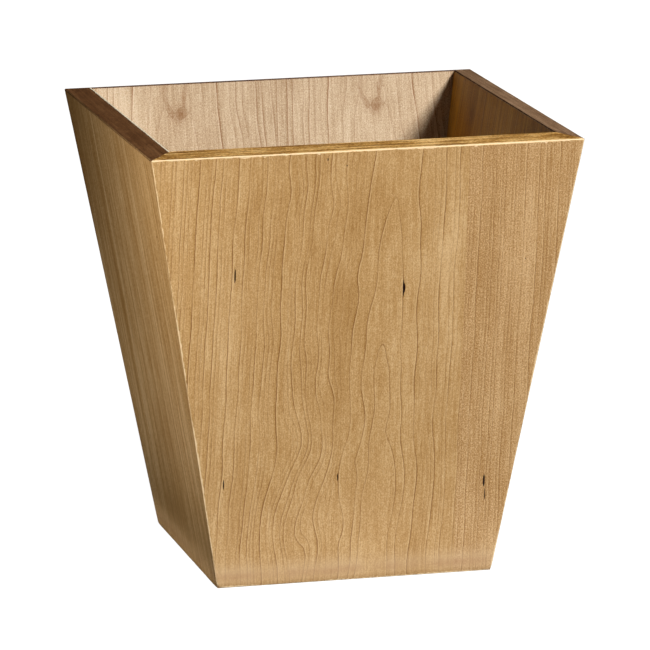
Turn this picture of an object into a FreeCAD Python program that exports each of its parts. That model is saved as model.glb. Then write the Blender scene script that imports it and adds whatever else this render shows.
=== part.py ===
"""Square, tapered wastebasket of veneered board.

Four identical walls lean outward and meet in compound mitres. Each wall is a core board with an outer and an
inner face veneer, and an edge band glued over its square-cut top. A loose spline, stopped short of both ends,
keys each mitre. The base board is veneered on both faces and sits in a groove round the inside of the walls.

The origin is the centre of the footprint on the floor. +Z is up and the front wall faces -Y. Millimetres.
"""

import FreeCAD
import Part

import math
import os

# Overall size
BASE_WIDTH = 190.0  # across the outer faces at the floor, the same both ways
TOP_WIDTH = 292.1  # across the outer arrises of the rim, the same both ways
ARRIS_HEIGHT = 302.0  # floor to the outer arris of the rim

# Wall build-up, measured square to the wall's face
VENEER = 0.7
CORE = 15.0
BAND = 1.0  # edge band, measured along the wall's slope

# Rounding of the sanded arrises
ARRIS_RADIUS = 1.0

# Base board, housed in a groove in all four walls
BASE_CORE = 7.6
BASE_LIFT = 12.0  # floor to the underside of the base
GROOVE_DEPTH = 7.0  # how far the base's edge runs into the walls
GLUE_GAP = 0.25  # room between the base's edge and the bottom of the groove

# Loose splines in the mitres
SPLINE_THICK = 4.0
SPLINE_WIDTH = 16.0  # half of it in each wall
SPLINE_SET = 11.0  # outer corner to the middle of the spline, measured along either wall's thickness
SPLINE_CLEAR_OF_BASE = 9.0
SPLINE_CLEAR_OF_RIM = 12.0

# Worked out from the sizes above
WALL = VENEER + CORE + VENEER
SLOPE = math.atan((TOP_WIDTH - BASE_WIDTH) / 2 / ARRIS_HEIGHT)  # of a wall from the vertical
SLANT = ARRIS_HEIGHT / math.cos(SLOPE)  # length of the outer face up its slope
HEIGHT = ARRIS_HEIGHT + WALL * math.sin(SLOPE)  # the rim is highest at its inner arris
BASE_THICK = BASE_CORE + 2 * VENEER
BASE_TOP = BASE_LIFT + BASE_THICK

SIDES = ("front", "right", "back", "left")  # in steps of a quarter turn about +Z
CORNERS = ("front_right", "back_right", "back_left", "front_left")
TINY = 1e-6


def section_point(inward, up):
    """(y, z) of a point of the front wall, from how far it lies inside the outer face and how far up the slope."""
    y = -BASE_WIDTH / 2 + inward * math.cos(SLOPE) - up * math.sin(SLOPE)
    z = inward * math.sin(SLOPE) + up * math.cos(SLOPE)
    return y, z


def floor_up(inward):
    """How far up the slope the floor lies, at a depth inside the outer face."""
    return -inward * math.tan(SLOPE)


def inner_half_width(z, inward=WALL):
    """Half the distance across two opposite walls at height z, at a depth inside their outer faces."""
    return BASE_WIDTH / 2 - inward / math.cos(SLOPE) + z * math.tan(SLOPE)


def hexahedron(low, high):
    """A solid from four bottom and four top corners, both in the same turning order."""
    faces = [low[::-1], high]
    faces += [[low[i], low[(i + 1) % 4], high[(i + 1) % 4], high[i]] for i in range(4)]
    shell = Part.Shell([Part.Face(Part.makePolygon(f + f[:1])) for f in faces])
    solid = Part.Solid(shell)
    return solid if solid.Volume > 0 else solid.reversed()


def front_slab(outer, inner, top, bottom=None):
    """A layer of the front wall between two depths, mitred at both ends.

    It runs up the slope from bottom, or from the floor if bottom is None, to top, where it is cut square.
    """
    rows = []
    for end in (0, 1):
        row = []
        for inward in (outer, inner):
            up = top if end else (floor_up(inward) if bottom is None else bottom)
            y, z = section_point(inward, up)
            ends = [FreeCAD.Vector(y, y, z), FreeCAD.Vector(-y, y, z)]
            row += ends if inward == outer else ends[::-1]
        rows.append(row)
    return hexahedron(*rows)


def frustum(low_half, low_z, high_half, high_z):
    """A square frustum round the Z axis."""
    turns = ((-1, -1), (1, -1), (1, 1), (-1, 1))
    low = [FreeCAD.Vector(x * low_half, y * low_half, low_z) for x, y in turns]
    high = [FreeCAD.Vector(x * high_half, y * high_half, high_z) for x, y in turns]
    return hexahedron(low, high)


def envelope():
    """The space inside the outer faces, roofed by the four planes of the square-cut rim."""
    top = TOP_WIDTH / 2
    roof_half = 1.0
    roof_z = ARRIS_HEIGHT + (top - roof_half) * math.tan(SLOPE)
    body = frustum(BASE_WIDTH / 2, 0.0, top, ARRIS_HEIGHT)
    roof = frustum(top, ARRIS_HEIGHT, roof_half, roof_z)
    return body.fuse(roof)


def is_arris(edge):
    """True for the edges that are sanded: both rim arrises, the outer corners and the outer floor arris."""
    ends = [v.Point for v in edge.Vertexes]
    heights = [p.z for p in ends]
    outermost = [max(abs(p.x), abs(p.y)) for p in ends]
    at_rim = all(abs(z - ARRIS_HEIGHT) < TINY for z in heights)
    at_inner_rim = all(abs(z - HEIGHT) < TINY for z in heights)
    at_floor = all(abs(z) < TINY for z in heights)
    outside = all(abs(m - BASE_WIDTH / 2) < TINY for m in outermost)
    is_corner = (
        abs(min(heights)) < TINY
        and abs(max(heights) - ARRIS_HEIGHT) < TINY
        and abs(max(outermost) - TOP_WIDTH / 2) < TINY
    )
    return at_rim or at_inner_rim or is_corner or (at_floor and outside)


def rounded_shell():
    """All four walls as one, with the arrises sanded round. Every piece of a wall is cut from it."""
    below, above = -10.0, ARRIS_HEIGHT + TOP_WIDTH / 2
    cavity = frustum(inner_half_width(below), below, inner_half_width(above), above)
    shell = envelope().cut(cavity).removeSplitter()
    arrises = [e for e in shell.Edges if is_arris(e)]
    return shell.makeFillet(ARRIS_RADIUS, arrises)


def base_layer(low, high):
    """A layer of the base board, between two heights above its underside."""
    half = inner_half_width(BASE_LIFT + BASE_THICK / 2) + GROOVE_DEPTH
    size = 2 * half
    return Part.makeBox(size, size, high - low, FreeCAD.Vector(-half, -half, BASE_LIFT + low))


def groove():
    """The space that the base's groove takes out of the walls."""
    half = inner_half_width(BASE_LIFT + BASE_THICK / 2) + GROOVE_DEPTH + GLUE_GAP
    size = 2 * half
    return Part.makeBox(size, size, BASE_THICK, FreeCAD.Vector(-half, -half, BASE_LIFT))


def front_right_spline():
    """The loose spline of the front right mitre, square to the mitre's plane and parallel to the corner."""
    corner_low = FreeCAD.Vector(BASE_WIDTH / 2, -BASE_WIDTH / 2, 0)
    corner_high = FreeCAD.Vector(TOP_WIDTH / 2, -TOP_WIDTH / 2, ARRIS_HEIGHT)
    along = (corner_high - corner_low).normalize()
    across = FreeCAD.Vector(1, 1, 0).normalize()
    through = along.cross(across)
    inset = SPLINE_SET / math.cos(SLOPE)
    seat = corner_low + FreeCAD.Vector(-inset, inset, 0)
    start = (BASE_TOP + SPLINE_CLEAR_OF_BASE) / along.z
    length = (ARRIS_HEIGHT - SPLINE_CLEAR_OF_RIM) / along.z - start
    box = Part.makeBox(SPLINE_WIDTH, SPLINE_THICK, length)
    box.translate(FreeCAD.Vector(-SPLINE_WIDTH / 2, -SPLINE_THICK / 2, 0))
    turned = FreeCAD.Rotation(across, through, along, "ZXY")
    box.Placement = FreeCAD.Placement(seat + along * start, turned).multiply(box.Placement)
    return box


def turned_about_z(shape, quarters):
    copy = shape.copy()
    copy.rotate(FreeCAD.Vector(0, 0, 0), FreeCAD.Vector(0, 0, 1), 90 * quarters)
    return copy


def wall_pieces():
    """The pieces of the front wall by name, before they are turned to the other sides."""
    under_band = SLANT - BAND
    shell = rounded_shell()
    sharp = {
        "outer_veneer": front_slab(0, VENEER, under_band),
        "core": front_slab(VENEER, VENEER + CORE, under_band),
        "inner_veneer": front_slab(VENEER + CORE, WALL, under_band),
        "rim_band": front_slab(0, WALL, SLANT, under_band),
    }
    made = {name: solid.common(shell) for name, solid in sharp.items()}
    spline = front_right_spline()
    for cutter in (groove(), spline, turned_about_z(spline, 3)):
        made["core"] = made["core"].cut(cutter)
    made["inner_veneer"] = made["inner_veneer"].cut(groove())
    return made


def all_pieces():
    """Every node of the wastebasket by name."""
    pieces = {}
    for name, shape in wall_pieces().items():
        for quarters, side in enumerate(SIDES):
            pieces[f"{side}_{name}"] = turned_about_z(shape, quarters)
    for quarters, corner in enumerate(CORNERS):
        pieces[f"{corner}_spline"] = turned_about_z(front_right_spline(), quarters)
    pieces["base_under_veneer"] = base_layer(0, VENEER)
    pieces["base_core"] = base_layer(VENEER, VENEER + BASE_CORE)
    pieces["base_top_veneer"] = base_layer(VENEER + BASE_CORE, BASE_THICK)
    return pieces


def main():
    os.makedirs("parts", exist_ok=True)
    for name, shape in all_pieces().items():
        expected = 2 if name.endswith("inner_veneer") else 1  # the groove divides the inner veneer
        solids = shape.Solids
        if len(solids) != expected or not all(s.isValid() for s in solids):
            raise ValueError(f"{name} is {len(solids)} solids, and it has to be {expected}, all valid")
        Part.makeCompound(solids).exportStep(f"parts/{name}.step")
    print(f"overall height {HEIGHT:.2f}, wall {WALL:.2f}, slope {math.degrees(SLOPE):.2f} degrees")


main()
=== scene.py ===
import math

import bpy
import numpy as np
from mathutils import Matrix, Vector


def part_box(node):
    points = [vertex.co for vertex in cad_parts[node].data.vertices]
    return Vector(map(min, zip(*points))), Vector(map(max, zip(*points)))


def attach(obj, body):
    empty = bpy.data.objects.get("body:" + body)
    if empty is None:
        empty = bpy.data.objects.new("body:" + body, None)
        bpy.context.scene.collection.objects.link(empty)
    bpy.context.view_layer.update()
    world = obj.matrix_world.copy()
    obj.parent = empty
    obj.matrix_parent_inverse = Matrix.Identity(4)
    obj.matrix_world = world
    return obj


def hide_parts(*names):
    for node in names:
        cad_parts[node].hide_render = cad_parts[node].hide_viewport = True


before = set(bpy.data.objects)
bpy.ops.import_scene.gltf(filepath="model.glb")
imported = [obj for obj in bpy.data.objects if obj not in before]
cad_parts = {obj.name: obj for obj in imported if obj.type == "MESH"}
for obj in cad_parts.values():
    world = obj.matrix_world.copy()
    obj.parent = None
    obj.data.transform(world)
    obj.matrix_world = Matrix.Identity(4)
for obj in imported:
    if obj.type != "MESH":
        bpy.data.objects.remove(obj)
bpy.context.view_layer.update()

# Some colours hold painted light and shade: the rim bands' tones and arrises, the right inner wall, the
# foot, and some broad shades.
# The looks of a square, tapered, veneered wastebasket, built round its imported CAD model.
# Every face veneer is made of leaves laid edge to edge, with growth rings worked out for each leaf. The
# arrises are sanded round by hand, so their radius wanders, and the stain is rubbed through along them.
# Panel coordinates, used for every wall, are u across the wall, v up its slope from the outer floor arris
# and w into its thickness. A wall is worked out as the front wall, which faces -Y, and turned to its side.

MM = 0.001

# -------- sizes, from the frame and the wall

VENEER = 0.7 * MM
BAND = 1.0 * MM
MITRE_GAP = 0.03 * MM  # glue line, half in each wall
ON_FLOOR = 1e-6  # metres: lower points lie on the floor


def node_points(name):
    return np.array([v.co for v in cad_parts[name].data.vertices])


core_points = node_points("front_core")
core_floor_y = core_points[core_points[:, 2] < ON_FLOOR][:, 1]
core_top = core_points[core_points[:, 1].argmin()]
SLOPE = math.atan2(core_floor_y.min() - core_top[1], core_top[2])
COS, SIN = math.cos(SLOPE), math.sin(SLOPE)
WALL = np.ptp(core_floor_y) * COS + 2 * VENEER
HALF_BASE = VENEER / COS - core_floor_y.min()
SLANT = (core_top[2] - VENEER * SIN) / COS + BAND
UNDER_BAND = SLANT - BAND
BASE_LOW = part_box("base_under_veneer")[0].z
BASE_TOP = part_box("base_top_veneer")[1].z

SIDES = ("front", "right", "back", "left")  # in steps of a quarter turn about +Z


def section(v, w):
    """(y, z) of a point of the front wall."""
    return -HALF_BASE + w * COS - v * SIN, w * SIN + v * COS


def half_width(v, w):
    """Half the length of a wall, from mitre to mitre."""
    return HALF_BASE - w * COS + v * SIN


def at_height(z):
    """How far up the slope a horizontal cut lies, as a function of depth."""
    return lambda w: (z - w * SIN) / COS


def up_slope(v):
    return lambda w: v


# -------- growth rings

WAVE_TURN = 2.2  # radians over a wave's reach
WAVE_PEAK = 1.6  # the usual peak of summed waves, in standard deviations


def bell(x):
    return np.exp(-x * x)


def noise_waves(seed, reach, count=14):
    """A smooth wandering function of a place, about -1 to 1, that varies over the given reach."""
    draw = np.random.RandomState(seed)
    turns = draw.normal(0, 1, (count, 3)) / reach
    phases = draw.uniform(0, 2 * math.pi, count)
    return lambda p: np.sin(p @ turns.T * WAVE_TURN + phases).sum(1) / math.sqrt(count / 2) / WAVE_PEAK


ripple = noise_waves(7, 24.0, 24)  # small irregular bends of the growth rings, in millimetres


class Figure:
    """The growth rings of one leaf of plain-sliced veneer, in millimetres of the leaf.

    The log's pith runs behind the leaf, a little out of true, so that rings end in arches. It lies at
    u = centre at the foot, leans by lean, and is depth behind the leaf at v = arch. Arches follow every
    arch_step, and below settle the rings run nearly straight. pitch is the width of a ring. Lines sway by
    wander, most of all near the centre, and the sway dies down over calm.

    Swells push lines sideways: (u, v, half width, half height, push). Eyes raise or sink rings: (u, v, half
    width, half height, rings). Flames do so along a short leaning line, and are stained brown: (u, v, lean,
    half width, half height, rings). Shades are lighter or darker areas, some the wood's own tone and some
    painted light and shade: (u, v, half width, half height, amount).
    """

    def __init__(
        self, centre, lean, depth, pitch, arch, arch_step, settle, swells=(), eyes=(), wander=1.0, calm=55,
        flames=(), shades=(),
    ):
        self.centre, self.lean = centre, lean
        self.depth, self.pitch = depth, pitch
        self.arch, self.arch_step, self.settle = arch, arch_step, settle
        self.wander, self.calm = wander, calm
        self.swells, self.eyes, self.flames, self.shades = swells, eyes, flames, shades

    def rings(self, u, v):
        """How many rings a point lies outside the one that ends in the upper arch."""
        loose = 0.2 + 0.8 * bell((u - self.centre + 25) / self.calm)
        sway = np.sin(v / 37 + u / 60) + 0.6 * np.sin(v / 17 + u / 19 + 1.3)
        place = np.stack([1.7 * u, v, np.zeros_like(u)], -1)
        bends = ripple(place.reshape(-1, 3)).reshape(u.shape)
        x = u - self.wander * loose * (sway + 1.1 * bends)
        for a, b, width, height, push in self.swells:
            x = x - push * bell((u - a) / width) * bell((v - b) / height)
        x = x - self.centre - self.lean * v
        above = np.maximum(v, self.settle) - self.arch
        below = np.minimum(v - self.settle, 0)
        deep = self.depth + self.pitch * (above / self.arch_step + below * 0.0045)
        rings = (np.hypot(x, deep) - self.depth) / self.pitch
        for a, b, width, height, lift in self.eyes:
            rings = rings + lift * bell((u - a) / width) * bell((v - b) / height)
        return rings + self.flame(u, v)

    def flame(self, u, v):
        """Rings raised by the knots' flames."""
        lifted = np.zeros_like(u)
        for a, b, slope, width, height, lift in self.flames:
            side = a + slope * (v - b) + 0.7 * np.sin(v / 3.1)
            taper = np.exp(-np.sqrt(((u - side) / width) ** 2 + 0.02))
            lifted = lifted + lift * taper * bell((v - b) / height)
        return lifted

    def shade(self, u, v):
        """Broad lighter and darker areas, the wood's own tone and painted light and shade, in panel
        coordinates.
        """
        light = np.zeros_like(u)
        for a, b, width, height, amount in self.shades:
            light = light + amount * bell((u / MM - a) / width) * bell((v / MM - b) / height)
        return light

    def field(self, u, v):
        """Ring count and the width of a ring, both from panel coordinates in metres."""
        u, v = u / MM, v / MM
        step = 0.05
        rings = self.rings(u, v)
        across = (self.rings(u + step, v) - self.rings(u - step, v)) / (2 * step)
        along = (self.rings(u, v + step) - self.rings(u, v - step)) / (2 * step)
        return rings, MM / np.maximum(np.hypot(across, along), 0.02)


def drawn(draw, count, *ranges):
    """Rows of numbers, each drawn from its own range."""
    return [tuple(draw.uniform(low, high) for low, high in ranges) for _ in range(count)]


def random_figure(seed, centre, pitch=2.6, arch=250, wander=1.2, shades=()):
    """A leaf of the same log as the front wall's, with swells and eyes of its own."""
    draw = np.random.RandomState(seed)
    swells = [
        (centre + a, b, width, height, push)
        for a, b, width, height, push in drawn(draw, 9, (-55, 55), (20, 290), (10, 24), (14, 34), (-6, 6))
    ]
    eyes = [
        (centre + a, b, 5.0, height, lift)
        for a, b, height, lift in drawn(draw, 3, (-30, 30), (30, 280), (7, 12), (-0.8, 0.9))
    ]
    lean = draw.uniform(-0.03, 0.03)
    return Figure(
        centre - 150 * lean, lean, draw.uniform(24, 36), pitch, arch, draw.uniform(70, 110), arch - 120,
        swells, eyes, wander, shades=shades,
    )


FRONT_FIGURE = Figure(
    centre=11.0, lean=0.026, depth=31.0, pitch=2.5, arch=272, arch_step=103, settle=150,
    swells=(
        (-40, 104, 20, 20, 8.0),
        (-50, 44, 24, 24, -8.5),
        (-24, 52, 12, 20, -4.0),
        (-8, 86, 9, 14, -4.5),
        (18, 107, 8, 12, -3.0),
        (27, 66, 10, 22, 4.0),
        (44, 72, 12, 30, 3.0),
        (-16, 262, 8, 16, 3.5),
        (-33, 225, 10, 30, -2.0),
        (34, 285, 9, 22, -2.5),
    ),
    eyes=((-13, 39, 4.5, 8, 0.9), (-20, 247, 5, 8, 0.8), (-10, 244, 6, 8, -0.6)),
    wander=1.3,
    shades=(
        (50, 222, 20, 60, 0.13),
        (60, 150, 8, 90, 0.04),
        (-14, 200, 12, 34, -0.14),
        (-18, 124, 10, 24, -0.1),
        (-2, 262, 26, 20, -0.08),
        (-96, 120, 8, 200, 0.08),
        (20, 70, 16, 50, 0.06),
        # painted light: the foot lighter from the floor's bounce
        (0, 4, 300, 26, 0.05),
    ),
)
# The last of this figure's shades is painted light: the foot lighter from the floor's bounce.
STRAIGHT_FIGURE = Figure(
    centre=-40.0, lean=0.012, depth=18.0, pitch=2.3, arch=400, arch_step=120, settle=100, wander=0.35,
    calm=300, shades=((77, 200, 5, 160, -0.06), (105, 250, 10, 60, 0.1), (80, 6, 40, 30, 0.06)),
)

# -------- marks in the outer leaves

# Mineral streaks are dark slits: u, v, half width, half length, depth, all in millimetres.
FRONT_STREAKS = (
    (-88.2, 223.0, 0.6, 5.4, 0.12),
    (26.6, 208.0, 1.0, 3.7, 0.16),
    (26.2, 208.0, 0.55, 6.8, 0.12),
    (-92.3, 75.0, 0.45, 4.0, 0.1),
    (-14.3, 75.3, 0.4, 3.0, 0.1),
    (87.0, 66.0, 0.8, 4.8, 0.14),
    (87.9, 56.0, 0.3, 5.5, 0.1),
    (-15.0, 296.0, 0.5, 0.5, 0.15),
    (-28.0, 301.0, 0.45, 1.2, 0.15),
    (109.0, 224.0, 0.4, 0.5, 0.1),
)
LEFT_STREAKS = ((104.0, 108.0, 0.5, 1.6, 0.2),)
NO_STREAKS = ()

CLUSTERED = 0.6  # the share of an arris's chips that gather in clusters
CLUSTER_SPREAD = 7  # millimetres


def dimple(u, v, centre_u, centre_v, half_u, half_v):
    """1 in the middle of an ellipse and 0 outside it."""
    reach = ((u / MM - centre_u) / half_u) ** 2 + ((v / MM - centre_v) / half_v) ** 2
    return np.clip(1.35 - reach, 0, 1)


def dents(u, v, marks):
    """How strongly marks show at each point, from 0 to 1, and how deep they are sunk, in metres."""
    shown, sink = np.zeros(len(u)), np.zeros(len(u))
    for centre_u, centre_v, half_u, half_v, depth in marks:
        mask = dimple(u, v, centre_u, centre_v, half_u, half_v)
        shown = np.maximum(shown, mask)
        sink = np.maximum(sink, depth * MM * mask)
    return shown, sink


def edge_chips(seed, low, high, at, count, clusters, size=1.0):
    """Small chips along a horizontal arris: u, v, half width, half height and depth, in millimetres."""
    draw = np.random.RandomState(seed)
    chips = []
    for _ in range(count):
        if draw.rand() < CLUSTERED:
            u = clusters[draw.randint(len(clusters))] + draw.normal(0, CLUSTER_SPREAD)
        else:
            u = draw.uniform(low, high)
        half_u = size * draw.uniform(0.35, 1.1)
        v = at + draw.uniform(-0.3, 0.4)
        half_v = size * draw.uniform(0.3, 0.7)
        depth = draw.uniform(0.1, 0.3)
        chips.append((u, v, half_u, half_v, depth))
    return chips


def marks_in(marks, low, high):
    return [m for m in marks if low < m[0] < high]


# -------- meshes

EASE = np.array([0, 0.12, 0.25, 0.4, 0.58, 0.8, 1.05, 1.4, 2.0, 3.2]) * MM  # distances from a sanded arris
ROW_STRETCH = 1.6  # rows lie this much further apart than columns, because the grain runs up the wall
BAND_STEP = 1.6 * MM
BAND_CHIP_DEPTH = 0.3 * MM  # how far into the wall the outer arris's chips reach
SHARP_ANGLE = math.radians(40)


def spread(low, high, ease_low, ease_high, step, extra=()):
    """A recipe for a row of points between two moving ends: (share of the way, fixed distance) pairs."""
    recipe = [(0.0, e) for e in (EASE if ease_low else EASE[:1])]
    inner_low, inner_high = (EASE[-1] if ease_low else 0.0), (EASE[-1] if ease_high else 0.0)
    length = (high - inner_high) - (low + inner_low)
    shares = set(np.linspace(0, 1, max(2, int(math.ceil(length / step)) + 1))[1:-1])
    for place, reach, fine in extra:
        near = np.arange(place - reach, place + reach + fine / 2, fine)
        shares = {s for s in shares if abs(low + inner_low + s * length - place) > reach + fine}
        shares |= {(p - low - inner_low) / length for p in near}
    shares = sorted(s for s in shares if 0.002 < s < 0.998)
    recipe += [(s, (1 - s) * inner_low - s * inner_high) for s in shares]
    recipe += [(1.0, -e) for e in (EASE[::-1] if ease_high else EASE[:1])]
    return np.array(recipe)


def lay(recipe, low, high):
    """The points of a recipe between two ends, which may be arrays."""
    share, fixed = recipe[:, 0], recipe[:, 1]
    return np.multiply.outer(low, 1 - share) + np.multiply.outer(high, share) + fixed


wander_long = noise_waves(3, 22 * MM)
wander_short = noise_waves(5, 5 * MM)
LONG_WANDER, SHORT_WANDER = 0.12, 0.08  # shares of an arris's radius

CORNER_RADIUS, RIM_RADIUS, INNER_RIM_RADIUS, FLOOR_RADIUS = 0.95 * MM, 0.95 * MM, 0.8 * MM, 0.85 * MM
TIP_RADIUS, TIP_REACH = 1.7 * MM, 3.0 * MM  # the floor corners are knocked rounder than the rest
RADIUS_BLEND = 0.2 * MM  # how gradually one arris's radius gives way to the next one's
SANDED_REACH = 6 * MM  # points further from every arris stay where they are
SANDING_ROUNDS = 14
TINY = 1e-9
RIM_Y, RIM_Z = section(SLANT, 0)

PLANES = (  # the faces of the front wall's solid that meet in sanded arrises: normal, and a point on it
    ((0, -COS, -SIN), (0, -HALF_BASE, 0)),
    ((COS, 0, -SIN), (HALF_BASE, 0, 0)),
    ((-COS, 0, -SIN), (-HALF_BASE, 0, 0)),
    ((0, -SIN, COS), (0, RIM_Y, RIM_Z)),
    ((SIN, 0, COS), (-RIM_Y, 0, RIM_Z)),
    ((-SIN, 0, COS), (RIM_Y, 0, RIM_Z)),
    ((0, 0, -1), (0, 0, 0)),
    ((0, COS, SIN), (0, *section(0, WALL))),
)
NORMALS = np.array([n for n, _ in PLANES], float)
LEVELS = np.array([np.dot(n, p) for n, p in PLANES])


def depths(points):
    """How far inside each plane the points lie."""
    return LEVELS - points @ NORMALS.T


def arris_distance(points):
    """Distance to the nearest sanded arris, and that arris's radius, wandering along its length."""
    front, right, left, top, _, _, floor, inner = depths(points).T
    corner = np.minimum(np.hypot(front, right), np.hypot(front, left))
    rim = np.hypot(front, top)
    inner_rim = np.hypot(inner, top)
    ground = np.hypot(front, floor)
    distances = np.stack([corner, rim, inner_rim, ground], 1)
    radii = np.array([CORNER_RADIUS, RIM_RADIUS, INNER_RIM_RADIUS, FLOOR_RADIUS])
    weights = 1 / (distances**2 + RADIUS_BLEND**2)
    radius = (weights * radii).sum(1) / weights.sum(1)
    tip = np.hypot(corner, floor)
    radius = radius + TIP_RADIUS * np.exp(-((tip / TIP_REACH) ** 2))
    radius = radius * (1 + LONG_WANDER * wander_long(points) + SHORT_WANDER * wander_short(points))
    return distances.min(1), radius


def sanded(points, on_mitre):
    """The points with every arris rounded, and those on a mitre still on it.

    A ball of the arris's radius is moved to the nearest place where it fits inside all the planes, by
    Dykstra's alternating projections. The point is then drawn in to the ball.
    """
    _, radius = arris_distance(points)
    centre = points.copy()
    held = np.zeros((len(NORMALS),) + points.shape)
    for _ in range(SANDING_ROUNDS):
        for k, normal in enumerate(NORMALS):
            moved = centre + held[k]
            over = np.maximum(0, moved @ normal - (LEVELS[k] - radius))
            centre = moved - over[:, None] * normal
            held[k] = moved - centre
    away = points - centre
    length = np.linalg.norm(away, axis=1)
    share = np.minimum(1, radius / np.maximum(length, TINY))
    out = centre + away * share[:, None]
    side = np.sign(points[:, 0])
    out[:, 0] = np.where(on_mitre, side * (-out[:, 1] - MITRE_GAP), out[:, 0])
    return out


def turned(points, side):
    """Points of the front wall, turned to another side."""
    x, y, z = points.T
    for _ in range(SIDES.index(side)):
        x, y = -y, x
    return np.stack([x, y, z], 1)


def make_object(name, points, faces, attributes, material):
    """A linked object made of the points that its faces use, with named values stored on them."""
    used = np.unique(np.concatenate([np.array(f).ravel() for f in faces]))
    renumber = np.full(len(points), -1)
    renumber[used] = np.arange(len(used))
    mesh = bpy.data.meshes.new(name)
    mesh.from_pydata(points[used].tolist(), [], [renumber[np.array(f)].tolist() for f in faces])
    for key, values in attributes.items():
        kind = "FLOAT_VECTOR" if values.ndim == 2 else "FLOAT"
        layer = mesh.attributes.new(key, kind, "POINT")
        flat = values[used].astype(np.float32).ravel()
        layer.data.foreach_set("vector" if values.ndim == 2 else "value", flat)
    obj = bpy.data.objects.new(name, mesh)
    bpy.context.scene.collection.objects.link(obj)
    mesh.materials.append(material)
    mesh.shade_smooth()
    mesh.set_sharp_from_angle(angle=SHARP_ANGLE)
    return obj


def grid_faces(rows, columns):
    """Quads of a grid whose points are numbered row by row, seen with u to the right and v up."""
    i, j = np.meshgrid(np.arange(rows - 1), np.arange(columns - 1), indexing="ij")
    a = (i * columns + j).ravel()
    return np.stack([a, a + 1, a + columns + 1, a + columns], 1).tolist()


def leaf_faces(n_rows, n_columns):
    """Faces of a thin solid: its seen grid, its edges all round, and its glued face in plain strips.

    The seen face's points are numbered first, row by row, and the glued face's follow in the same order.
    """
    last_row, last_column = n_rows - 1, n_columns - 1

    def front(i, j):
        return i * n_columns + j

    def back(i, j):
        return n_rows * n_columns + front(i, j)

    faces = grid_faces(n_rows, n_columns)
    for i in range(last_row):
        lower, upper = [back(i, last_column)], [back(i + 1, 0)]
        if i == 0:
            lower += [back(i, j) for j in range(last_column - 1, 0, -1)]
        if i == last_row - 1:
            upper += [back(i + 1, j) for j in range(1, last_column)]
        faces.append(lower + [back(i, 0)] + upper + [back(i + 1, last_column)])
        faces.append([front(i, 0), front(i + 1, 0), back(i + 1, 0), back(i, 0)])
        end = last_column
        faces.append([front(i, end), back(i, end), back(i + 1, end), front(i + 1, end)])
    for j in range(last_column):
        faces.append([front(0, j), back(0, j), back(0, j + 1), front(0, j + 1)])
        faces.append([front(last_row, j), front(last_row, j + 1), back(last_row, j + 1), back(last_row, j)])
    return faces


def leaf_limits(ends, v, w):
    """The left and right ends, in u, of rows at v and w. ends are a leaf's limits, and None for a mitre."""
    reach = half_width(v, w) - MITRE_GAP
    left = -reach if ends[0] is None else np.full_like(v, ends[0])
    right = reach if ends[1] is None else np.full_like(v, ends[1])
    return left, right


def leaf_recipes(ends, low_v, high_v, seen, step, marks):
    """Recipes for a leaf's rows and columns, which are closer at sanded arrises and round its marks."""
    fine_rows = [(m[1] * MM, (m[3] + 1) * MM, max(0.35, m[3] / 8) * MM) for m in marks]
    rows = spread(low_v, high_v, True, True, step * ROW_STRETCH, fine_rows)
    middle = np.array([(low_v + high_v) / 2])
    left_middle, right_middle = (float(x[0]) for x in leaf_limits(ends, middle, seen))
    fine_columns = []
    for m in marks:
        left, right = (float(x[0]) for x in leaf_limits(ends, np.array([m[1] * MM]), seen))
        share = (m[0] * MM - left) / (right - left)
        place = left_middle + share * (right_middle - left_middle)
        fine_columns.append((place, (m[2] + 1.0) * MM, 0.2 * MM))
    columns = spread(left_middle, right_middle, ends[0] is None, ends[1] is None, step, fine_columns)
    return rows, columns


def leaf(name, side, ends, low, high, seen, hidden, figure, material, step, marks=NO_STREAKS, chips=()):
    """One leaf of veneer: a thin solid whose seen face is a fine grid and whose glued face is plain.

    ends are the left and right limits in u, and None for a mitre. low and high give v from w. seen and
    hidden are the depths of its two faces.
    """
    rows, columns = leaf_recipes(ends, low(seen), high(seen), seen, step, marks)
    sheets = []
    for w in (seen, hidden):
        v = lay(rows, low(w), high(w))
        left, right = leaf_limits(ends, v, w)
        u = lay(columns, left, right)
        v = np.repeat(v[:, None], u.shape[1], 1)
        sheets.append((u, v, np.full_like(u, w)))
    n_rows, n_columns = sheets[0][0].shape

    u, v, w = (np.concatenate([s[k].ravel() for s in sheets]) for k in range(3))
    y, z = section(v, w)
    points = np.stack([u, y, z], 1)
    column = np.tile(np.arange(n_columns), 2 * n_rows)
    at_left, at_right = column == 0, column == n_columns - 1
    on_mitre = (at_left & (ends[0] is None)) | (at_right & (ends[1] is None))
    near, _ = arris_distance(points)
    close = near < SANDED_REACH
    points[close] = sanded(points[close], on_mitre[close])

    streak, streak_sink = dents(u, v, marks)
    worn, chip_sink = dents(u, v, chips)
    is_seen = np.arange(len(u)) < n_rows * n_columns
    inward = np.array([0, COS, SIN]) * (1 if seen < hidden else -1)
    points += np.where(is_seen, np.maximum(streak_sink, chip_sink), 0)[:, None] * inward
    rings, pitch = figure.field(u, v)
    attributes = {
        "panel": np.stack([u, v, w], 1),
        "rings": rings,
        "pitch": pitch,
        "shade": figure.shade(u, v),
        "knot": np.clip(figure.flame(u / MM, v / MM), 0, 1),
        "arris": near,
        "streak": streak,
        "worn": worn,
    }
    return make_object(name, turned(points, side), leaf_faces(n_rows, n_columns), attributes, material)


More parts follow.
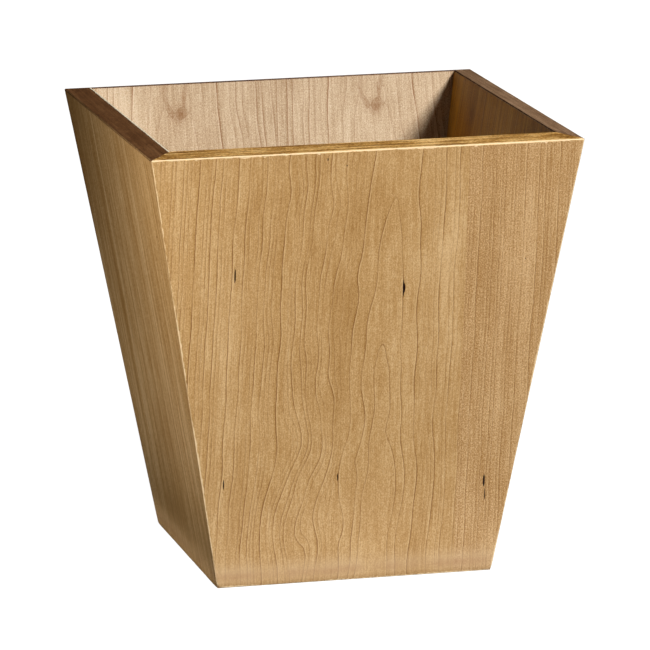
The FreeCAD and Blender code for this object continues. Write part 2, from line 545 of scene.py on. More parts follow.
def band_profile():
    """(w, v) round an edge band's section: up its outer edge, over the rim, down, and back underneath."""
    edge_v = np.concatenate([[UNDER_BAND], np.linspace(UNDER_BAND + EASE[1], SLANT, 8)[:-1]])
    across = np.concatenate([EASE, np.linspace(EASE[-1], WALL - EASE[-1], 7)[1:-1], WALL - EASE[::-1]])
    profile = [(0.0, v) for v in edge_v]
    profile += [(w, SLANT) for w in across]
    profile += [(WALL, v) for v in edge_v[::-1]]
    profile += [(w, UNDER_BAND) for w in np.linspace(WALL, 0, 5)[1:-1]]
    return np.array(profile)


def tube_faces(ring, count):
    """Faces of a closed bar, whose points are numbered along it, line by line round its section."""
    faces = []
    for k in range(ring):
        for j in range(count - 1):
            a, b = k * count + j, ((k + 1) % ring) * count + j
            faces.append([a, a + 1, b + 1, b])
    faces.append([k * count for k in range(ring)])
    faces.append([k * count + count - 1 for k in range(ring)][::-1])
    return faces


def rim_band(name, side, material, chips=()):
    """The edge band of one wall: a strip with its grain along the rim and both its arrises sanded."""
    w, v = band_profile().T
    middle = float(half_width(UNDER_BAND, WALL / 2))
    reach = half_width(v, w) - MITRE_GAP
    u = lay(spread(-middle, middle, True, True, BAND_STEP), -reach, reach)
    ring, count = u.shape
    u, v, w = u.ravel(), np.repeat(v, count), np.repeat(w, count)
    y, z = section(v, w)
    points = np.stack([u, y, z], 1)
    column = np.tile(np.arange(count), ring)
    near, _ = arris_distance(points)
    points = sanded(points, (column == 0) | (column == count - 1))
    worn, sink = dents(u, v, chips)
    on_edge = w < BAND_CHIP_DEPTH
    points += (sink * on_edge)[:, None] * np.array([0, COS, SIN])
    attributes = {"panel": np.stack([u, v, w], 1), "arris": near, "worn": worn * on_edge}
    return make_object(name, turned(points, side), tube_faces(ring, count), attributes, material)


# -------- shader graphs

class Field:
    """A value or vector in a shader graph, which can be written in formulas."""

    def __init__(self, graph, socket):
        self.graph, self.socket = graph, socket

    def _math(self, kind, other):
        return self.graph.math(kind, self, other)

    def __add__(self, other):
        return self._math("ADD", other)

    def __sub__(self, other):
        return self._math("SUBTRACT", other)

    def __rsub__(self, other):
        return self.graph.math("SUBTRACT", other, self)

    def __mul__(self, other):
        return self._math("MULTIPLY", other)

    def __truediv__(self, other):
        return self._math("DIVIDE", other)

    def clamp(self):
        out = self._math("ADD", 0.0)
        out.socket.node.use_clamp = True
        return out

    def smooth(self, low, high):
        """0 below low, 1 above high, and smooth between."""
        node = self.graph.new("ShaderNodeMapRange", interpolation_type="SMOOTHSTEP")
        self.graph.put(node.inputs["Value"], self)
        node.inputs["From Min"].default_value = low
        node.inputs["From Max"].default_value = high
        return Field(self.graph, node.outputs["Result"])

    def bell(self, middle, width):
        """A bump of height 1 at middle."""
        x = (self - middle) * (1 / width)
        return self.graph.math("EXPONENT", x * x * -1.0)


class Graph:
    """The node tree of one material, with its shader."""

    def __init__(self, name):
        self.material = bpy.data.materials.new(name)
        self.material.use_nodes = True
        self.tree = self.material.node_tree
        self.shader = self.tree.nodes["Principled BSDF"]

    def new(self, kind, **settings):
        node = self.tree.nodes.new(kind)
        for key, value in settings.items():
            setattr(node, key, value)
        return node

    def put(self, socket, value):
        if isinstance(value, Field):
            self.tree.links.new(value.socket, socket)
        else:
            socket.default_value = value

    def math(self, kind, *values):
        node = self.new("ShaderNodeMath", operation=kind)
        for socket, value in zip(node.inputs, values):
            self.put(socket, value)
        return Field(self, node.outputs[0])

    def attribute(self, name, output="Fac"):
        return Field(self, self.new("ShaderNodeAttribute", attribute_name=name).outputs[output])

    def split(self, vector):
        node = self.new("ShaderNodeSeparateXYZ")
        self.put(node.inputs[0], vector)
        return [Field(self, o) for o in node.outputs]

    def join(self, x, y, z):
        node = self.new("ShaderNodeCombineXYZ")
        for socket, value in zip(node.inputs, (x, y, z)):
            self.put(socket, value)
        return Field(self, node.outputs[0])

    def noise(self, place, sizes, detail=2.0, rough=0.5, seed=0.0):
        """Noise round 0.5 that varies over the given sizes in metres, along x, y and z."""
        scale = self.new("ShaderNodeVectorMath", operation="MULTIPLY_ADD")
        self.put(scale.inputs[0], place)
        scale.inputs[1].default_value = [1 / s for s in sizes]
        scale.inputs[2].default_value = (seed, seed * 0.37, seed * 0.71)
        node = self.new("ShaderNodeTexNoise", noise_dimensions="3D")
        self.tree.links.new(scale.outputs[0], node.inputs["Vector"])
        node.inputs["Scale"].default_value = 1.0
        node.inputs["Detail"].default_value = detail
        node.inputs["Roughness"].default_value = rough
        return Field(self, node.outputs[0])

    def grain(self, place, across, along, detail, rough, seed):
        """Noise over two sizes in millimetres, which is the same at every depth."""
        return self.noise(place, (across * MM, along * MM, FLAT), detail, rough, seed)

    def ramp(self, value, *stops):
        """A colour from a value, through (place, colour) stops."""
        node = self.new("ShaderNodeValToRGB")
        ramp = node.color_ramp
        while len(ramp.elements) < len(stops):
            ramp.elements.new(0.5)
        for element, (place, colour) in zip(ramp.elements, stops):
            element.position = place
            element.color = (*colour, 1)
        self.put(node.inputs[0], value)
        return Field(self, node.outputs[0])

    def blend(self, share, first, second, kind="MIX"):
        """first where share is 0 and second where it is 1."""
        node = self.new("ShaderNodeMix", data_type="RGBA", blend_type=kind, clamp_factor=True)
        self.put(node.inputs["Factor"], share)
        for key, value in (("A", first), ("B", second)):
            socket = next(s for s in node.inputs if s.name == key and s.type == "RGBA")
            self.put(socket, value if isinstance(value, Field) else (*value, 1))
        return Field(self, next(s for s in node.outputs if s.type == "RGBA"))

    def finish(self, colour, rough, height, bump_strength, bump_distance, **shader):
        self.put(self.shader.inputs["Base Color"], colour)
        self.put(self.shader.inputs["Roughness"], rough)
        bump = self.new("ShaderNodeBump")
        bump.inputs["Strength"].default_value = bump_strength
        bump.inputs["Distance"].default_value = bump_distance
        self.put(bump.inputs["Height"], height)
        self.tree.links.new(bump.outputs["Normal"], self.shader.inputs["Normal"])
        for key, value in shader.items():
            self.shader.inputs[key.replace("_", " ")].default_value = value
        return self.material


def srgb(red, green, blue):
    """A linear colour from the 0 to 255 numbers of a paint chart."""

    def linear(c):
        return c / 255 / 12.92 if c <= 10 else ((c / 255 + 0.055) / 1.055) ** 2.4

    return tuple(linear(c) for c in (red, green, blue))


RAW_WOOD = srgb(232, 204, 160)
DULL_WOOD = srgb(188, 150, 104)
# painted light: the pale wood along the foot stands for the white floor's reflection and bounce
PAINTED_FLOOR_LIGHT = srgb(207, 176, 138)
SMUDGE = srgb(148, 96, 58)
STREAK = srgb(30, 8, 2)

FLAT = 9.0  # metres: noise of this size doesn't change over the basket
GRAIN_BUMP = (0.22, 0.12 * MM)  # the strength and depth of a veneer's fine relief


def ring_lines(g, place, seed, line_width, phases):
    """Each growth ring's thin dark line, the pale wood beside it, the slow shade up to it, and its tone."""
    rings, pitch = g.attribute("rings"), g.attribute("pitch")
    ragged = g.grain(place, 2.2, 5.5, 3.0, 0.65, seed)
    moved = rings + (ragged - 0.5) * (0.9 * MM) / pitch
    nearest = g.math("ROUND", moved)
    off = (moved - nearest) * pitch
    first = g.math("SINE", nearest * 1.9 + phases[0])
    second = g.math("SINE", nearest * 3.3 + phases[1])
    broken = g.grain(place, 14, 38, 1.0, 0.5, seed + 5).smooth(0.3, 0.62)
    arches = nearest.bell(-0.5, 0.8) * 0.35
    strength = ((first * 0.42 + second * 0.34 + arches + 0.4) * (broken * 0.6 + 0.4)).clamp()
    dark_line = off.bell(0.0, line_width * MM) * strength
    pale_line = off.bell(-0.75 * MM, 0.42 * MM) * strength
    late = off.bell(0.5 * MM, 1.0 * MM) * strength
    ring_tone = g.math("SINE", moved * 0.83 + seed) * 0.5 + 0.5
    return dark_line, pale_line, late, ring_tone


def foot_smudge_and_painted_light(g, place, colour, line, seed, share, mottle):
    """A leaf's colour, lighter along the floor with painted light from the floor, with a reddish smudge in
    patches and a foot darkened with painted shade.
    """
    _, v, _ = g.split(place)
    edge_sway = g.grain(place, 30, 30, 1.0, 0.5, seed + 39)
    patch = g.noise(place, (34 * MM, 400.0, FLAT), 2.0, 0.6, seed + 37).smooth(0.36, 0.56)
    level = v + (edge_sway - 0.5) * (2 * MM)
    # Painted light: a pale band along the floor, for the floor's reflection and bounce.
    colour = g.blend(level.bell(9 * MM, 8 * MM) * (patch + 1.0) * share, colour, PAINTED_FLOOR_LIGHT)
    colour = g.blend(level.bell(7.5 * MM, 3.2 * MM) * patch * (mottle * 0.5 + 0.02), colour, SMUDGE)
    # Painted shade: the foot darker where its arris turns under.
    return g.blend((1.0 - level.smooth(1.5 * MM, 4.5 * MM)) * 0.2, colour, line)


def bare_places(g, place, seed, rub):
    """Where an arris is rubbed through or chipped. rub is as in veneer."""
    rubbed = g.grain(place, 1.8, 4.5, 3.0, 0.7, seed + 41) - 0.5
    handled = g.grain(place, 40, 55, 1.0, 0.5, seed + 43) - 0.5
    reach = rubbed * (rub[1] * 4 * MM) + handled * (rub[0] * 3 * MM) + rub[0] * MM
    bare = ((reach - g.attribute("arris")) * (1 / (0.35 * MM))).clamp()
    return g.math("MAXIMUM", bare * 0.9, g.attribute("worn").smooth(0.2, 0.7))


def veneer(
    name, tones, line, lite, seed, line_width=0.29, line_share=1.0, halo=0.09, phases=(3.47, 1.57),
    speckle=1.25, stripes=0.25, rub=(0.9, 0.55), painted_floor_glow=None, bare_wood=RAW_WOOD, gloss=1.0,
):
    """Plain-sliced maple veneer under satin lacquer.

    tones are its dark, middle and light colours. line and lite are the colours of a ring's dark line and of
    the pale wood beside it. halo is how far the wood darkens up to a line, and phases settle which lines are
    strong. rub is how far from an arris the stain is rubbed through, and how much that wanders. Widths and
    rub are in millimetres. painted_floor_glow is how strongly the foot is lightened with painted floor
    light, if at all.
    """
    g = Graph(name)
    place = g.attribute("panel", "Vector")
    dark_line, pale_line, late, ring_tone = ring_lines(g, place, seed, line_width, phases)

    # Fibres, pores and slow changes of colour.
    cloud = g.grain(place, 34, 60, 3.0, 0.6, seed + 11)
    stripe = g.grain(place, 5.5, 320, 3.0, 0.65, seed + 17)
    fibre = g.grain(place, 0.55, 26, 3.0, 0.65, seed + 23)
    strand = g.grain(place, 1.7, 30, 2.0, 0.6, seed + 25)
    fleck = g.grain(place, 0.62, 1.1, 2.0, 0.7, seed + 29)
    mottle = g.grain(place, 2.6, 5, 2.0, 0.6, seed + 27)
    pore = g.grain(place, 0.3, 2.6, 1.0, 0.5, seed + 31).smooth(0.6, 0.76)
    tone = (cloud - 0.5) * 0.45 + (stripe - 0.5) * stripes + (fibre - 0.5) * 0.75 + (strand - 0.5) * 0.4
    # shade holds broad lighter and darker areas: the wood's own tone, and on some walls painted light and
    # shade.
    tone = tone + (fleck - 0.5) * speckle + (mottle - 0.5) * 0.2 + g.attribute("shade")
    tone = tone + (ring_tone - 0.5) * 0.05 - late * halo + 0.5
    colour = g.ramp(tone, (0.12, tones[0]), (0.5, tones[1]), (0.88, tones[2]))
    colour = g.blend(pale_line * 0.42, colour, lite)
    colour = g.blend(dark_line * line_share, colour, line)
    colour = g.blend(pore * 0.42, colour, line)

    # Marks: stained knots, the foot's smudge with painted floor light and painted shade, mineral streaks,
    # and raw wood.
    stain = g.grain(place, 1.6, 4, 3.0, 0.7, seed + 51).smooth(0.4, 0.62)
    colour = g.blend(g.attribute("knot") * (stain * 0.5 + 0.36), colour, line)
    if painted_floor_glow is not None:
        colour = foot_smudge_and_painted_light(g, place, colour, line, seed, painted_floor_glow, mottle)
    streak = g.attribute("streak")
    colour = g.blend(streak.smooth(0.25, 0.75), colour, STREAK)
    bare = bare_places(g, place, seed, rub)
    colour = g.blend(bare, colour, bare_wood)

    rough = (fibre - 0.5) * 0.16 + (fleck - 0.5) * 0.1 + dark_line * 0.06 + bare * 0.2 + 0.43
    height = (fibre - 0.5) * 0.6 + (fleck - 0.5) * 0.3 - dark_line * 0.25 - pore * 0.5 - streak * 0.5
    return g.finish(
        colour, rough, height, *GRAIN_BUMP, IOR=1.5, Specular_IOR_Level=0.32 * gloss,
        Coat_Weight=0.12 * gloss, Coat_Roughness=0.28,
    )


def banding(name, tones, seed, outer_edge, inner_edge, contrast, rub):
    """A strip of veneer with its grain along the rim. outer_edge and inner_edge colour its sanded arrises.

    rub is how far from the outer and the inner arris the edge colours reach, in millimetres. On some rims
    they are rubbed-through wood, on others painted shade or a painted highlight.
    """
    g = Graph(name)
    place = g.attribute("panel", "Vector")
    u, v, w = g.split(place)
    arris, worn = g.attribute("arris"), g.attribute("worn")
    along = g.join(u, w, v)
    wave = g.grain(along, 60, 5, 2.0, 0.5, seed)
    bent = g.join(u, w + (wave - 0.5) * (3 * MM), v)
    stripe = g.noise(bent, (90 * MM, 1.5 * MM, 2 * MM), 3.0, 0.6, seed + 3)
    fibre = g.noise(bent, (14 * MM, 0.35 * MM, 2 * MM), 3.0, 0.7, seed + 7)
    cloud = g.noise(place, (24 * MM, 12 * MM, 12 * MM), 3.0, 0.6, seed + 13)
    fleck = g.noise(along, (1.6 * MM, 0.7 * MM, 2 * MM), 2.0, 0.7, seed + 29)
    pore = g.noise(bent, (3.2 * MM, 0.3 * MM, 2 * MM), 1.0, 0.5, seed + 19).smooth(0.62, 0.74)
    tone = (stripe - 0.5) * contrast * 2 + (fibre - 0.5) * 1.4 + (cloud - 0.5) * contrast
    tone = tone + (fleck - 0.5) * 1.8 + 0.5
    colour = g.ramp(tone, (0.0, tones[0]), (0.5, tones[1]), (1.0, tones[2]))
    colour = g.blend(pore * 0.35, colour, tones[0])
    rubbed = g.grain(place, 5, 2, 3.0, 0.7, seed + 23) - 0.5
    outer = 1.0 - w.smooth(2 * MM, 4 * MM)
    reach = rubbed * (1.6 * MM) + outer * ((rub[0] - rub[1]) * MM) + rub[1] * MM
    # bare marks the arris strips: rubbed-through wood on some rims, painted shade and a painted highlight on
    # others.
    bare = ((reach - arris) * (1 / (0.3 * MM))).clamp()
    bare = g.math("MAXIMUM", bare * 0.95, worn.smooth(0.2, 0.7))
    colour = g.blend(bare, colour, g.blend(outer, inner_edge, outer_edge))
    rough = (fibre - 0.5) * 0.2 + bare * 0.2 + 0.45
    height = (fibre - 0.5) * 0.6 - pore * 0.6
    return g.finish(
        colour, rough, height, *GRAIN_BUMP, IOR=1.5, Specular_IOR_Level=0.16, Coat_Weight=0.03,
        Coat_Roughness=0.3,
    )


def object_place(g):
    return Field(g, g.new("ShaderNodeTexCoord").outputs["Object"])


def fibreboard():
    """Raw MDF: pressed brown fibres with pale and dark hairs."""
    g = Graph("fibreboard")
    place = object_place(g)
    cloud = g.noise(place, (9 * MM, 9 * MM, 9 * MM), 3.0, 0.6, 2.0)
    hair = g.noise(place, (0.5 * MM, 2.2 * MM, 0.5 * MM), 3.0, 0.7, 7.0)
    grain = g.noise(place, (0.6 * MM, 0.6 * MM, 0.6 * MM), 3.0, 0.8, 9.0)
    tone = (cloud - 0.5) * 0.6 + (hair - 0.5) * 0.9 + (grain - 0.5) * 0.9 + 0.5
    colour = g.ramp(tone, (0.1, srgb(112, 80, 52)), (0.5, srgb(158, 120, 82)), (0.9, srgb(196, 164, 124)))
    rough = (grain - 0.5) * 0.2 + 0.85
    return g.finish(colour, rough, hair * 0.5 + grain * 0.5, 0.5, 0.2 * MM, IOR=1.45, Specular_IOR_Level=0.2)


def plywood():
    """The loose splines' birch ply: plies across the thickness and grain along the corner."""
    g = Graph("spline_plywood")
    place = object_place(g)
    stripe = g.noise(place, (0.8 * MM, 0.8 * MM, 60 * MM), 3.0, 0.6, 4.0)
    pore = g.noise(place, (0.4 * MM, 0.4 * MM, 4 * MM), 2.0, 0.6, 6.0)
    tone = (stripe - 0.5) * 1.2 + (pore - 0.5) * 0.7 + 0.5
    colour = g.ramp(tone, (0.1, srgb(150, 112, 70)), (0.5, srgb(206, 172, 124)), (0.9, srgb(228, 202, 160)))
    rough = (pore - 0.5) * 0.2 + 0.75
    return g.finish(colour, rough, stripe, 0.4, 0.2 * MM, IOR=1.45, Specular_IOR_Level=0.25)


def base_veneer(name, seed, tones, line):
    """The base board's veneers, with their grain across the basket and rings bent by the pith."""
    g = Graph(name)
    place = object_place(g)
    pitch = 3.4 * MM
    x, y, _ = g.split(place)
    sway = g.grain(place, 70, 30, 2.0, 0.5, seed)
    across = y + (sway - 0.5) * (16 * MM) + 12 * MM
    depth = x * 0.03 + 26 * MM
    radius = g.math("SQRT", across * across + depth * depth)
    rings = radius * (1 / pitch)
    nearest = g.math("ROUND", rings)
    off = (rings - nearest) * pitch
    strength = (g.math("SINE", nearest * 2.3 + seed) * 0.5 + 0.5).clamp()
    dark_line = off.bell(0.0, 0.45 * MM) * strength
    fibre = g.grain(place, 26, 0.55, 3.0, 0.65, seed + 3)
    cloud = g.grain(place, 60, 25, 3.0, 0.6, seed + 7)
    fleck = g.grain(place, 1.3, 0.4, 2.0, 0.7, seed + 9)
    tone = (fibre - 0.5) * 0.8 + (cloud - 0.5) * 0.8 + (fleck - 0.5) * 0.5 + 0.5
    colour = g.ramp(tone, (0.12, tones[0]), (0.5, tones[1]), (0.88, tones[2]))
    colour = g.blend(dark_line * 0.55, colour, line)
    rough = (fibre - 0.5) * 0.16 + 0.46
    height = (fibre - 0.5) * 0.6 - dark_line * 0.4
    return g.finish(
        colour, rough, height, *GRAIN_BUMP, IOR=1.5, Specular_IOR_Level=0.32, Coat_Weight=0.1,
        Coat_Roughness=0.3,
    )


# -------- the wastebasket's pieces

HONEY = (srgb(153, 111, 58), srgb(184, 145, 93), srgb(212, 178, 131))
HONEY_PINK = (srgb(153, 111, 61), srgb(184, 145, 96), srgb(213, 178, 133))
HONEY_LINE, HONEY_LITE = srgb(108, 64, 10), srgb(220, 186, 138)
PALE = (srgb(146, 113, 74), srgb(182, 155, 121), srgb(209, 188, 158))
# A darker, more orange copy of the inner veneer, for the shadowed right wall: painted shade.
SHADED_INNER_HONEY = (srgb(128, 78, 14), srgb(170, 114, 30), srgb(204, 150, 58))
PALE_LINE, PALE_LITE = srgb(124, 76, 12), srgb(222, 200, 172)

# Painted shade: the left wall is darker at its back top and low in its middle.
LEFT_PAINTED_SHADE = ((-135, 300, 60, 90, -0.3), (-20, 28, 40, 14, -0.16))  # as in Figure

SEAMS = {"front": 68.0, "right": -12.0, "back": 24.0, "left": 35.0}  # where two outer leaves meet, u in mm
OUTER_FIGURES = {
    "front": (FRONT_FIGURE, STRAIGHT_FIGURE),
    "right": (random_figure(21, -48.0), random_figure(22, 62.0)),
    "back": (random_figure(23, -30.0), random_figure(24, 100.0, 2.3)),
    "left": (random_figure(25, -40.0, 3.0, shades=LEFT_PAINTED_SHADE), random_figure(26, 110.0, 2.4)),
}
STREAKS = {"front": FRONT_STREAKS, "left": LEFT_STREAKS}
LEAF_WIDTH = 140.0  # the inner leaves are slip-matched, so their figure repeats at this width

# Chips along the arrises: how many, and where they gather, u in mm
TOP_CHIPS, FOOT_CHIPS, BAND_CHIPS = 34, 18, 26
TOP_CHIP_CLUSTERS = {"front": (-82, 37, 63, 113), "right": (-90, 20), "back": (-40, 95), "left": (-20, 100)}
FOOT_CHIP_CLUSTERS = (60, 20, -70)
FOOT_CHIP_HEIGHT = 0.3
TOP_SEED, FOOT_SEED, BAND_SEED = 40, 50, 70

# Steps of the leaves' grids across the grain. The faces that are seen closest have the finest.
FRONT_STEP, OUTER_STEP = 1.3 * MM, 1.8 * MM
BACK_STEP, INNER_STEP, SKIRT_STEP = 0.9 * MM, 2.2 * MM, 4 * MM


def inner_leaf_figure(centre):
    """A leaf of the inner veneer, with a knot's flame near the rim."""
    top = SLANT / MM
    swells = (
        (centre - 34, top - 30, 16, 40, 3.0),
        (centre + 40, top - 90, 20, 34, -4.0),
        (centre - 20, top - 150, 20, 30, 5.0),
        (centre + 16, top - 210, 16, 30, -4.0),
    )
    eyes = ((centre - 8, top - 130, 6, 10, 0.9), (centre + 22, top - 190, 7, 14, -0.9))
    flames = (
        (centre + 8.5, top - 8, 0.11, 0.8, 10, 1.1),
        (centre - 6.0, top - 7, -0.18, 0.8, 9, 1.1),
        (centre - 2.0, top - 21.5, 0.0, 2.6, 4.0, 1.6),
        (centre + 5.0, top - 20, 0.3, 1.0, 4.0, 1.2),
    )
    # The first shade is painted light: the wall lighter toward one end near the rim, where the key light
    # falls. The second darkens round the knot.
    shades = ((112, top - 20, 16, 60, 0.3), (centre - 1, top - 24, 6, 9, -0.2))
    return Figure(centre, 0.0, 46.0, 2.9, top - 60, 70, 120, swells, eyes, 0.7, 80, flames, shades)


def make_outer_leaves(side, materials):
    seam, number = SEAMS[side], SIDES.index(side)
    top_reach, foot_reach = half_width(SLANT, 0) / MM, half_width(0, 0) / MM
    rim = UNDER_BAND / MM
    chips = edge_chips(TOP_SEED + number, -top_reach, top_reach, rim, TOP_CHIPS, TOP_CHIP_CLUSTERS[side])
    chips += edge_chips(
        FOOT_SEED + number, -foot_reach, foot_reach, FOOT_CHIP_HEIGHT, FOOT_CHIPS, FOOT_CHIP_CLUSTERS, 0.8
    )
    streaks = STREAKS.get(side, NO_STREAKS)
    halves = (("left_leaf", -math.inf, seam), ("right_leaf", seam, math.inf))
    for k, (label, low, high) in enumerate(halves):
        limits = tuple(None if math.isinf(end) else end * MM for end in (low, high))
        piece = leaf(
            f"{side}_outer_veneer_{label}", side, limits, at_height(0.0), up_slope(UNDER_BAND), 0.0, VENEER,
            OUTER_FIGURES[side][k], materials[k], FRONT_STEP if side == "front" else OUTER_STEP,
            marks_in(streaks, low, high), marks_in(chips, low, high),
        )
        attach(piece, "root")
        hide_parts(f"{side}_outer_veneer")


def make_inner_leaves(side, material):
    for k, label in enumerate(("left_leaf", "right_leaf")):
        ends = (None, 0.0) if k == 0 else (0.0, None)
        figure = inner_leaf_figure((k - 0.5) * LEAF_WIDTH)
        piece = leaf(
            f"{side}_inner_veneer_{label}", side, ends, at_height(BASE_TOP), up_slope(UNDER_BAND), WALL,
            WALL - VENEER, figure, material, BACK_STEP if side == "back" else INNER_STEP,
        )
        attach(piece, "root")
        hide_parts(f"{side}_inner_veneer")
    skirt = leaf(
        f"{side}_inner_veneer_skirt", side, (None, None), at_height(0.0), at_height(BASE_LOW), WALL,
        WALL - VENEER, inner_leaf_figure(-LEAF_WIDTH / 2), material, SKIRT_STEP,
    )
    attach(skirt, "root")
    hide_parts(f"{side}_inner_veneer")


def make_rim_band(side, number):
    reach = half_width(SLANT, 0) / MM
    nicks = edge_chips(
        BAND_SEED + number, -reach, reach, UNDER_BAND / MM, BAND_CHIPS, TOP_CHIP_CLUSTERS[side], 0.9
    )
    surface = banding(f"{side}_banding", BAND_TONES_PAINTED_LIGHT[side], 12.0 + 9 * number, *BAND_EDGES[side])
    band = rim_band(f"{side}_rim_band_strip", side, surface, nicks)
    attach(band, "root")
    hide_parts(f"{side}_rim_band")


outer_left = veneer(
    "honey_maple_veneer", HONEY, HONEY_LINE, HONEY_LITE, 1.0, line_share=0.86, painted_floor_glow=0.25
)
outer_right = veneer(
    "honey_maple_straight", HONEY_PINK, HONEY_LINE, HONEY_LITE, 61.0, line_width=0.27, line_share=0.6,
    speckle=2.5, painted_floor_glow=0.25,
)
side_leaves = veneer(
    "honey_maple_veneer_side", HONEY, HONEY_LINE, HONEY_LITE, 83.0, phases=(1.0, 2.6), speckle=1.9,
    stripes=1.5, painted_floor_glow=0.05, bare_wood=DULL_WOOD, gloss=0.5,
)
inner = veneer(
    "pale_maple_veneer", PALE, PALE_LINE, PALE_LITE, 33.0, line_width=0.38, line_share=0.9, halo=0.22,
    phases=(0.4, 1.57), speckle=1.6, rub=(0.5, 0.3),
)
# The right wall's inner veneer: a darker copy of the pale one, painted shade.
inner_side_shaded = veneer(
    "honey_maple_inside_painted_shade", SHADED_INNER_HONEY, HONEY_LINE, HONEY_LITE, 47.0, line_width=0.45, line_share=0.8,
    phases=(0.4, 1.57), stripes=0.9, rub=(0.35, 0.3), gloss=0.35,
)
# One edge banding, its tones per rim holding painted light and shade: the front rim lighter where the key
# light falls, the left and back rims darker, the right one greyer.
BAND_TONES_PAINTED_LIGHT = {
    "front": (srgb(103, 62, 16), srgb(189, 140, 70), srgb(246, 207, 141)),
    "right": (srgb(96, 68, 46), srgb(146, 112, 82), srgb(184, 150, 118)),
    "back": (srgb(70, 44, 24), srgb(104, 72, 44), srgb(138, 104, 70)),
    "left": (srgb(80, 50, 28), srgb(119, 79, 47), srgb(150, 108, 70)),
}
# Arris colours: painted shade on the dark arrises, and a painted highlight on the left rim's inner arris.
PAINTED_SHADE_EDGE, PAINTED_HIGHLIGHT_EDGE = srgb(74, 44, 24), srgb(255, 242, 212)
BAND_EDGES = {  # the outer and inner arrises' colours, the contrast of the stripes, and the rub
    # Dark arrises here are painted shade.
    "front": (RAW_WOOD, PAINTED_SHADE_EDGE, 1.4, (1.0, 0.7)),
    "right": (PAINTED_SHADE_EDGE, PAINTED_SHADE_EDGE, 0.9, (0.7, 0.7)),
    "back": (DULL_WOOD, PAINTED_SHADE_EDGE, 1.0, (1.0, 0.7)),
    # The left rim's inner arris: a painted highlight, reaching further than the rubbed edges.
    "left": (DULL_WOOD, PAINTED_HIGHLIGHT_EDGE, 0.7, (0.5, 1.5)),
}

for number, side in enumerate(SIDES):
    pair = (outer_left, outer_right) if side == "front" else (side_leaves, side_leaves)
    make_outer_leaves(side, pair)
    make_inner_leaves(side, inner_side_shaded if side == "right" else inner)
    make_rim_band(side, number)

CAD_SURFACES = {  # materials of the CAD nodes that stay, by the ends of their names
    "core": fibreboard(),
    "spline": plywood(),
    "top_veneer": base_veneer("base_top_maple", 5.0, PALE, PALE_LINE),
    "under_veneer": base_veneer("base_under_maple", 15.0, PALE, PALE_LINE),
}
for name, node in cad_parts.items():
    for ending, surface in CAD_SURFACES.items():
        if name.endswith(ending):
            node.data.materials.clear()
            node.data.materials.append(surface)

# -------- floor, light and camera

FLOOR_REACH, FLOOR_SIDES = 60.0, 64
FLOOR_DARK, FLOOR_LIGHT = (0.12, 0.12, 0.12), (0.14, 0.14, 0.14)
WHITE = (1.0, 1.0, 1.0)
WARM_CARD = (1.0, 0.96, 0.89)
MIDDLE = (0, 0, 0.15)  # of the basket
TABLE_BOUNCE, BOUNCE_TINT = 0.05, (1, 0.98, 0.95)
STUDIO_DARK, DARK_TINT = 0.007, (1.2, 0.8, 0.35)
HORIZON = (0.49, 0.52)  # where the bounce ends and the dark begins, with level at 0.5


def make_floor():
    """A white floor that glows for the camera only, so that it lights nothing."""
    points = [(0, 0, 0)]
    faces = []
    for k in range(FLOOR_SIDES):
        turn = 2 * math.pi * k / FLOOR_SIDES
        points.append((FLOOR_REACH * math.cos(turn), FLOOR_REACH * math.sin(turn), 0))
        faces.append((0, k + 1, (k + 1) % FLOOR_SIDES + 1))
    mesh = bpy.data.meshes.new("studio_floor")
    mesh.from_pydata(points, [], faces)
    floor = bpy.data.objects.new("studio_floor", mesh)
    bpy.context.scene.collection.objects.link(floor)
    g = Graph("studio_white")
    patch = g.noise(object_place(g), (0.9, 0.9, 0.9), 2.0, 0.5, 3.0)
    g.put(g.shader.inputs["Base Color"], g.ramp(patch, (0.3, FLOOR_DARK), (0.7, FLOOR_LIGHT)))
    g.shader.inputs["Roughness"].default_value = 0.9
    g.shader.inputs["Emission Color"].default_value = (*WHITE, 1)
    g.shader.inputs["Emission Strength"].default_value = 1.0
    mesh.materials.append(g.material)
    floor.visible_glossy = False
    floor.visible_diffuse = False


def area_light(name, place, aim, size, power, colour, reflected):
    """A lamp that the camera doesn't see: a disk of one size, or a rectangle of two."""
    light = bpy.data.lights.new(name, "AREA")
    if isinstance(size, tuple):
        light.shape = "RECTANGLE"
        light.size, light.size_y = size
    else:
        light.shape, light.size = "DISK", size
    light.energy = power
    light.color = colour
    obj = bpy.data.objects.new(name, light)
    obj.location = place
    obj.rotation_euler = (Vector(aim) - Vector(place)).to_track_quat("-Z", "Y").to_euler()
    obj.visible_camera = False
    obj.visible_glossy = reflected
    bpy.context.scene.collection.objects.link(obj)


def around(azimuth, elevation, distance):
    """A place round the basket. Azimuth 0 is straight out from the front wall, and positive to its right."""
    turn, rise = math.radians(azimuth), math.radians(elevation)
    return (
        distance * math.sin(turn) * math.cos(rise),
        -distance * math.cos(turn) * math.cos(rise),
        distance * math.sin(rise),
    )


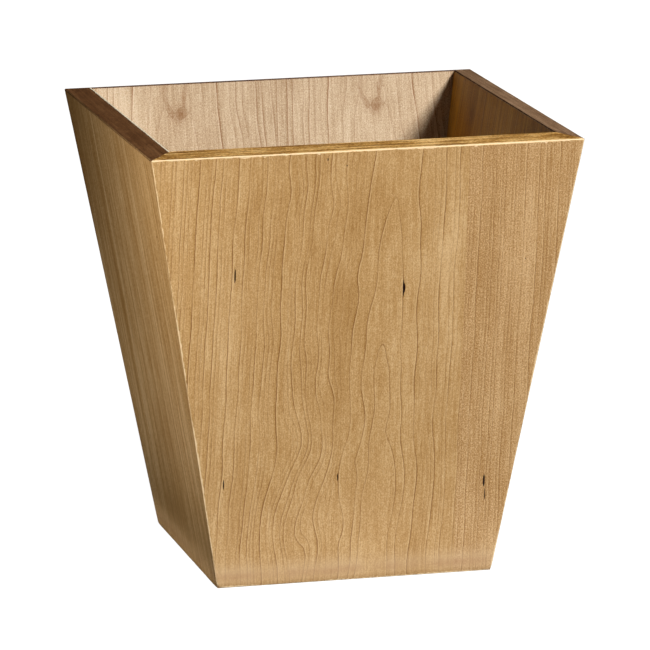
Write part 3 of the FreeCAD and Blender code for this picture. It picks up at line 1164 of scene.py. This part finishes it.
LAMPS = (  # name, place, aim, size, power, colour, and whether it shows in reflections
    ("key", around(27.2, 32.4, 4.6), MIDDLE, 0.85, 296.0, WHITE, True),
    ("left_card", (-0.34, -0.18, 0.25), (-0.14, -0.1, 0.22), 0.13, 0.46, WARM_CARD, False),
    ("left_bounce", (-0.25, -0.07, 0.03), (-0.22, -0.07, 0.13), 0.1, 0.1, WHITE, False),
    ("left_bounce", (-0.25, 0.1, 0.03), (-0.22, 0.1, 0.13), 0.1, 0.09, WHITE, False),
    ("left_strip", (-0.112, 0.01, 0.002), (-0.095, 0.01, 0.004), (0.2, 0.006), 0.009, WHITE, False),
    ("inner_bounce", (0, 0, 0.26), (0.124, 0, 0.285), 0.08, 0.02, WHITE, False),
    ("front_bounce", (0, -0.15, 0.004), (0, -0.1, 0.034), (0.24, 0.04), 0.018, WHITE, True),
    ("back_light", around(176, 3, 3.2), MIDDLE, 0.3, 28.0, WHITE, False),
)


def make_world():
    """A dark warm studio above the horizon, and the table's bounced light below it."""
    world = bpy.data.worlds.new("studio")
    bpy.context.scene.world = world
    world.use_nodes = True
    tree = world.node_tree
    new, link = tree.nodes.new, tree.links.new
    direction = new("ShaderNodeTexCoord")
    split = new("ShaderNodeSeparateXYZ")
    ramp = new("ShaderNodeValToRGB")
    lights = ((TABLE_BOUNCE, BOUNCE_TINT), (STUDIO_DARK, DARK_TINT))
    for element, position, (strength, tint) in zip(ramp.color_ramp.elements, HORIZON, lights):
        element.position = position
        element.color = (*(strength * part for part in tint), 1)
    rise = new("ShaderNodeMath")
    rise.operation = "MULTIPLY_ADD"
    rise.inputs[1].default_value = 0.5
    rise.inputs[2].default_value = 0.5
    link(direction.outputs["Generated"], split.inputs[0])
    link(split.outputs["Z"], rise.inputs[0])
    link(rise.outputs[0], ramp.inputs[0])
    link(ramp.outputs[0], tree.nodes["Background"].inputs["Color"])
    world.cycles_visibility.glossy = False


def make_camera():
    """The camera of a long lens, a little over 4 m away, turned a little off level."""
    place = Vector((-0.9108, -3.8149, 0.9821))
    yaw, pitch, roll = (math.radians(a) for a in (13.481, 11.904, -0.517))
    forward = Vector((math.sin(yaw) * math.cos(pitch), math.cos(yaw) * math.cos(pitch), -math.sin(pitch)))
    right = Vector((math.cos(yaw), -math.sin(yaw), 0))
    up = right.cross(forward)
    right, up = math.cos(roll) * right + math.sin(roll) * up, math.cos(roll) * up - math.sin(roll) * right
    data = bpy.data.cameras.new("camera")
    data.lens = 325.5
    data.sensor_width = 36.0
    data.clip_end = 300.0
    camera = bpy.data.objects.new("camera", data)
    camera.matrix_world = Matrix.Translation(place) @ Matrix((right, up, -forward)).transposed().to_4x4()
    bpy.context.scene.collection.objects.link(camera)
    bpy.context.scene.camera = camera


make_floor()
for lamp in LAMPS:
    area_light(*lamp)
make_world()
make_camera()
bpy.context.scene.view_settings.view_transform = "Standard"
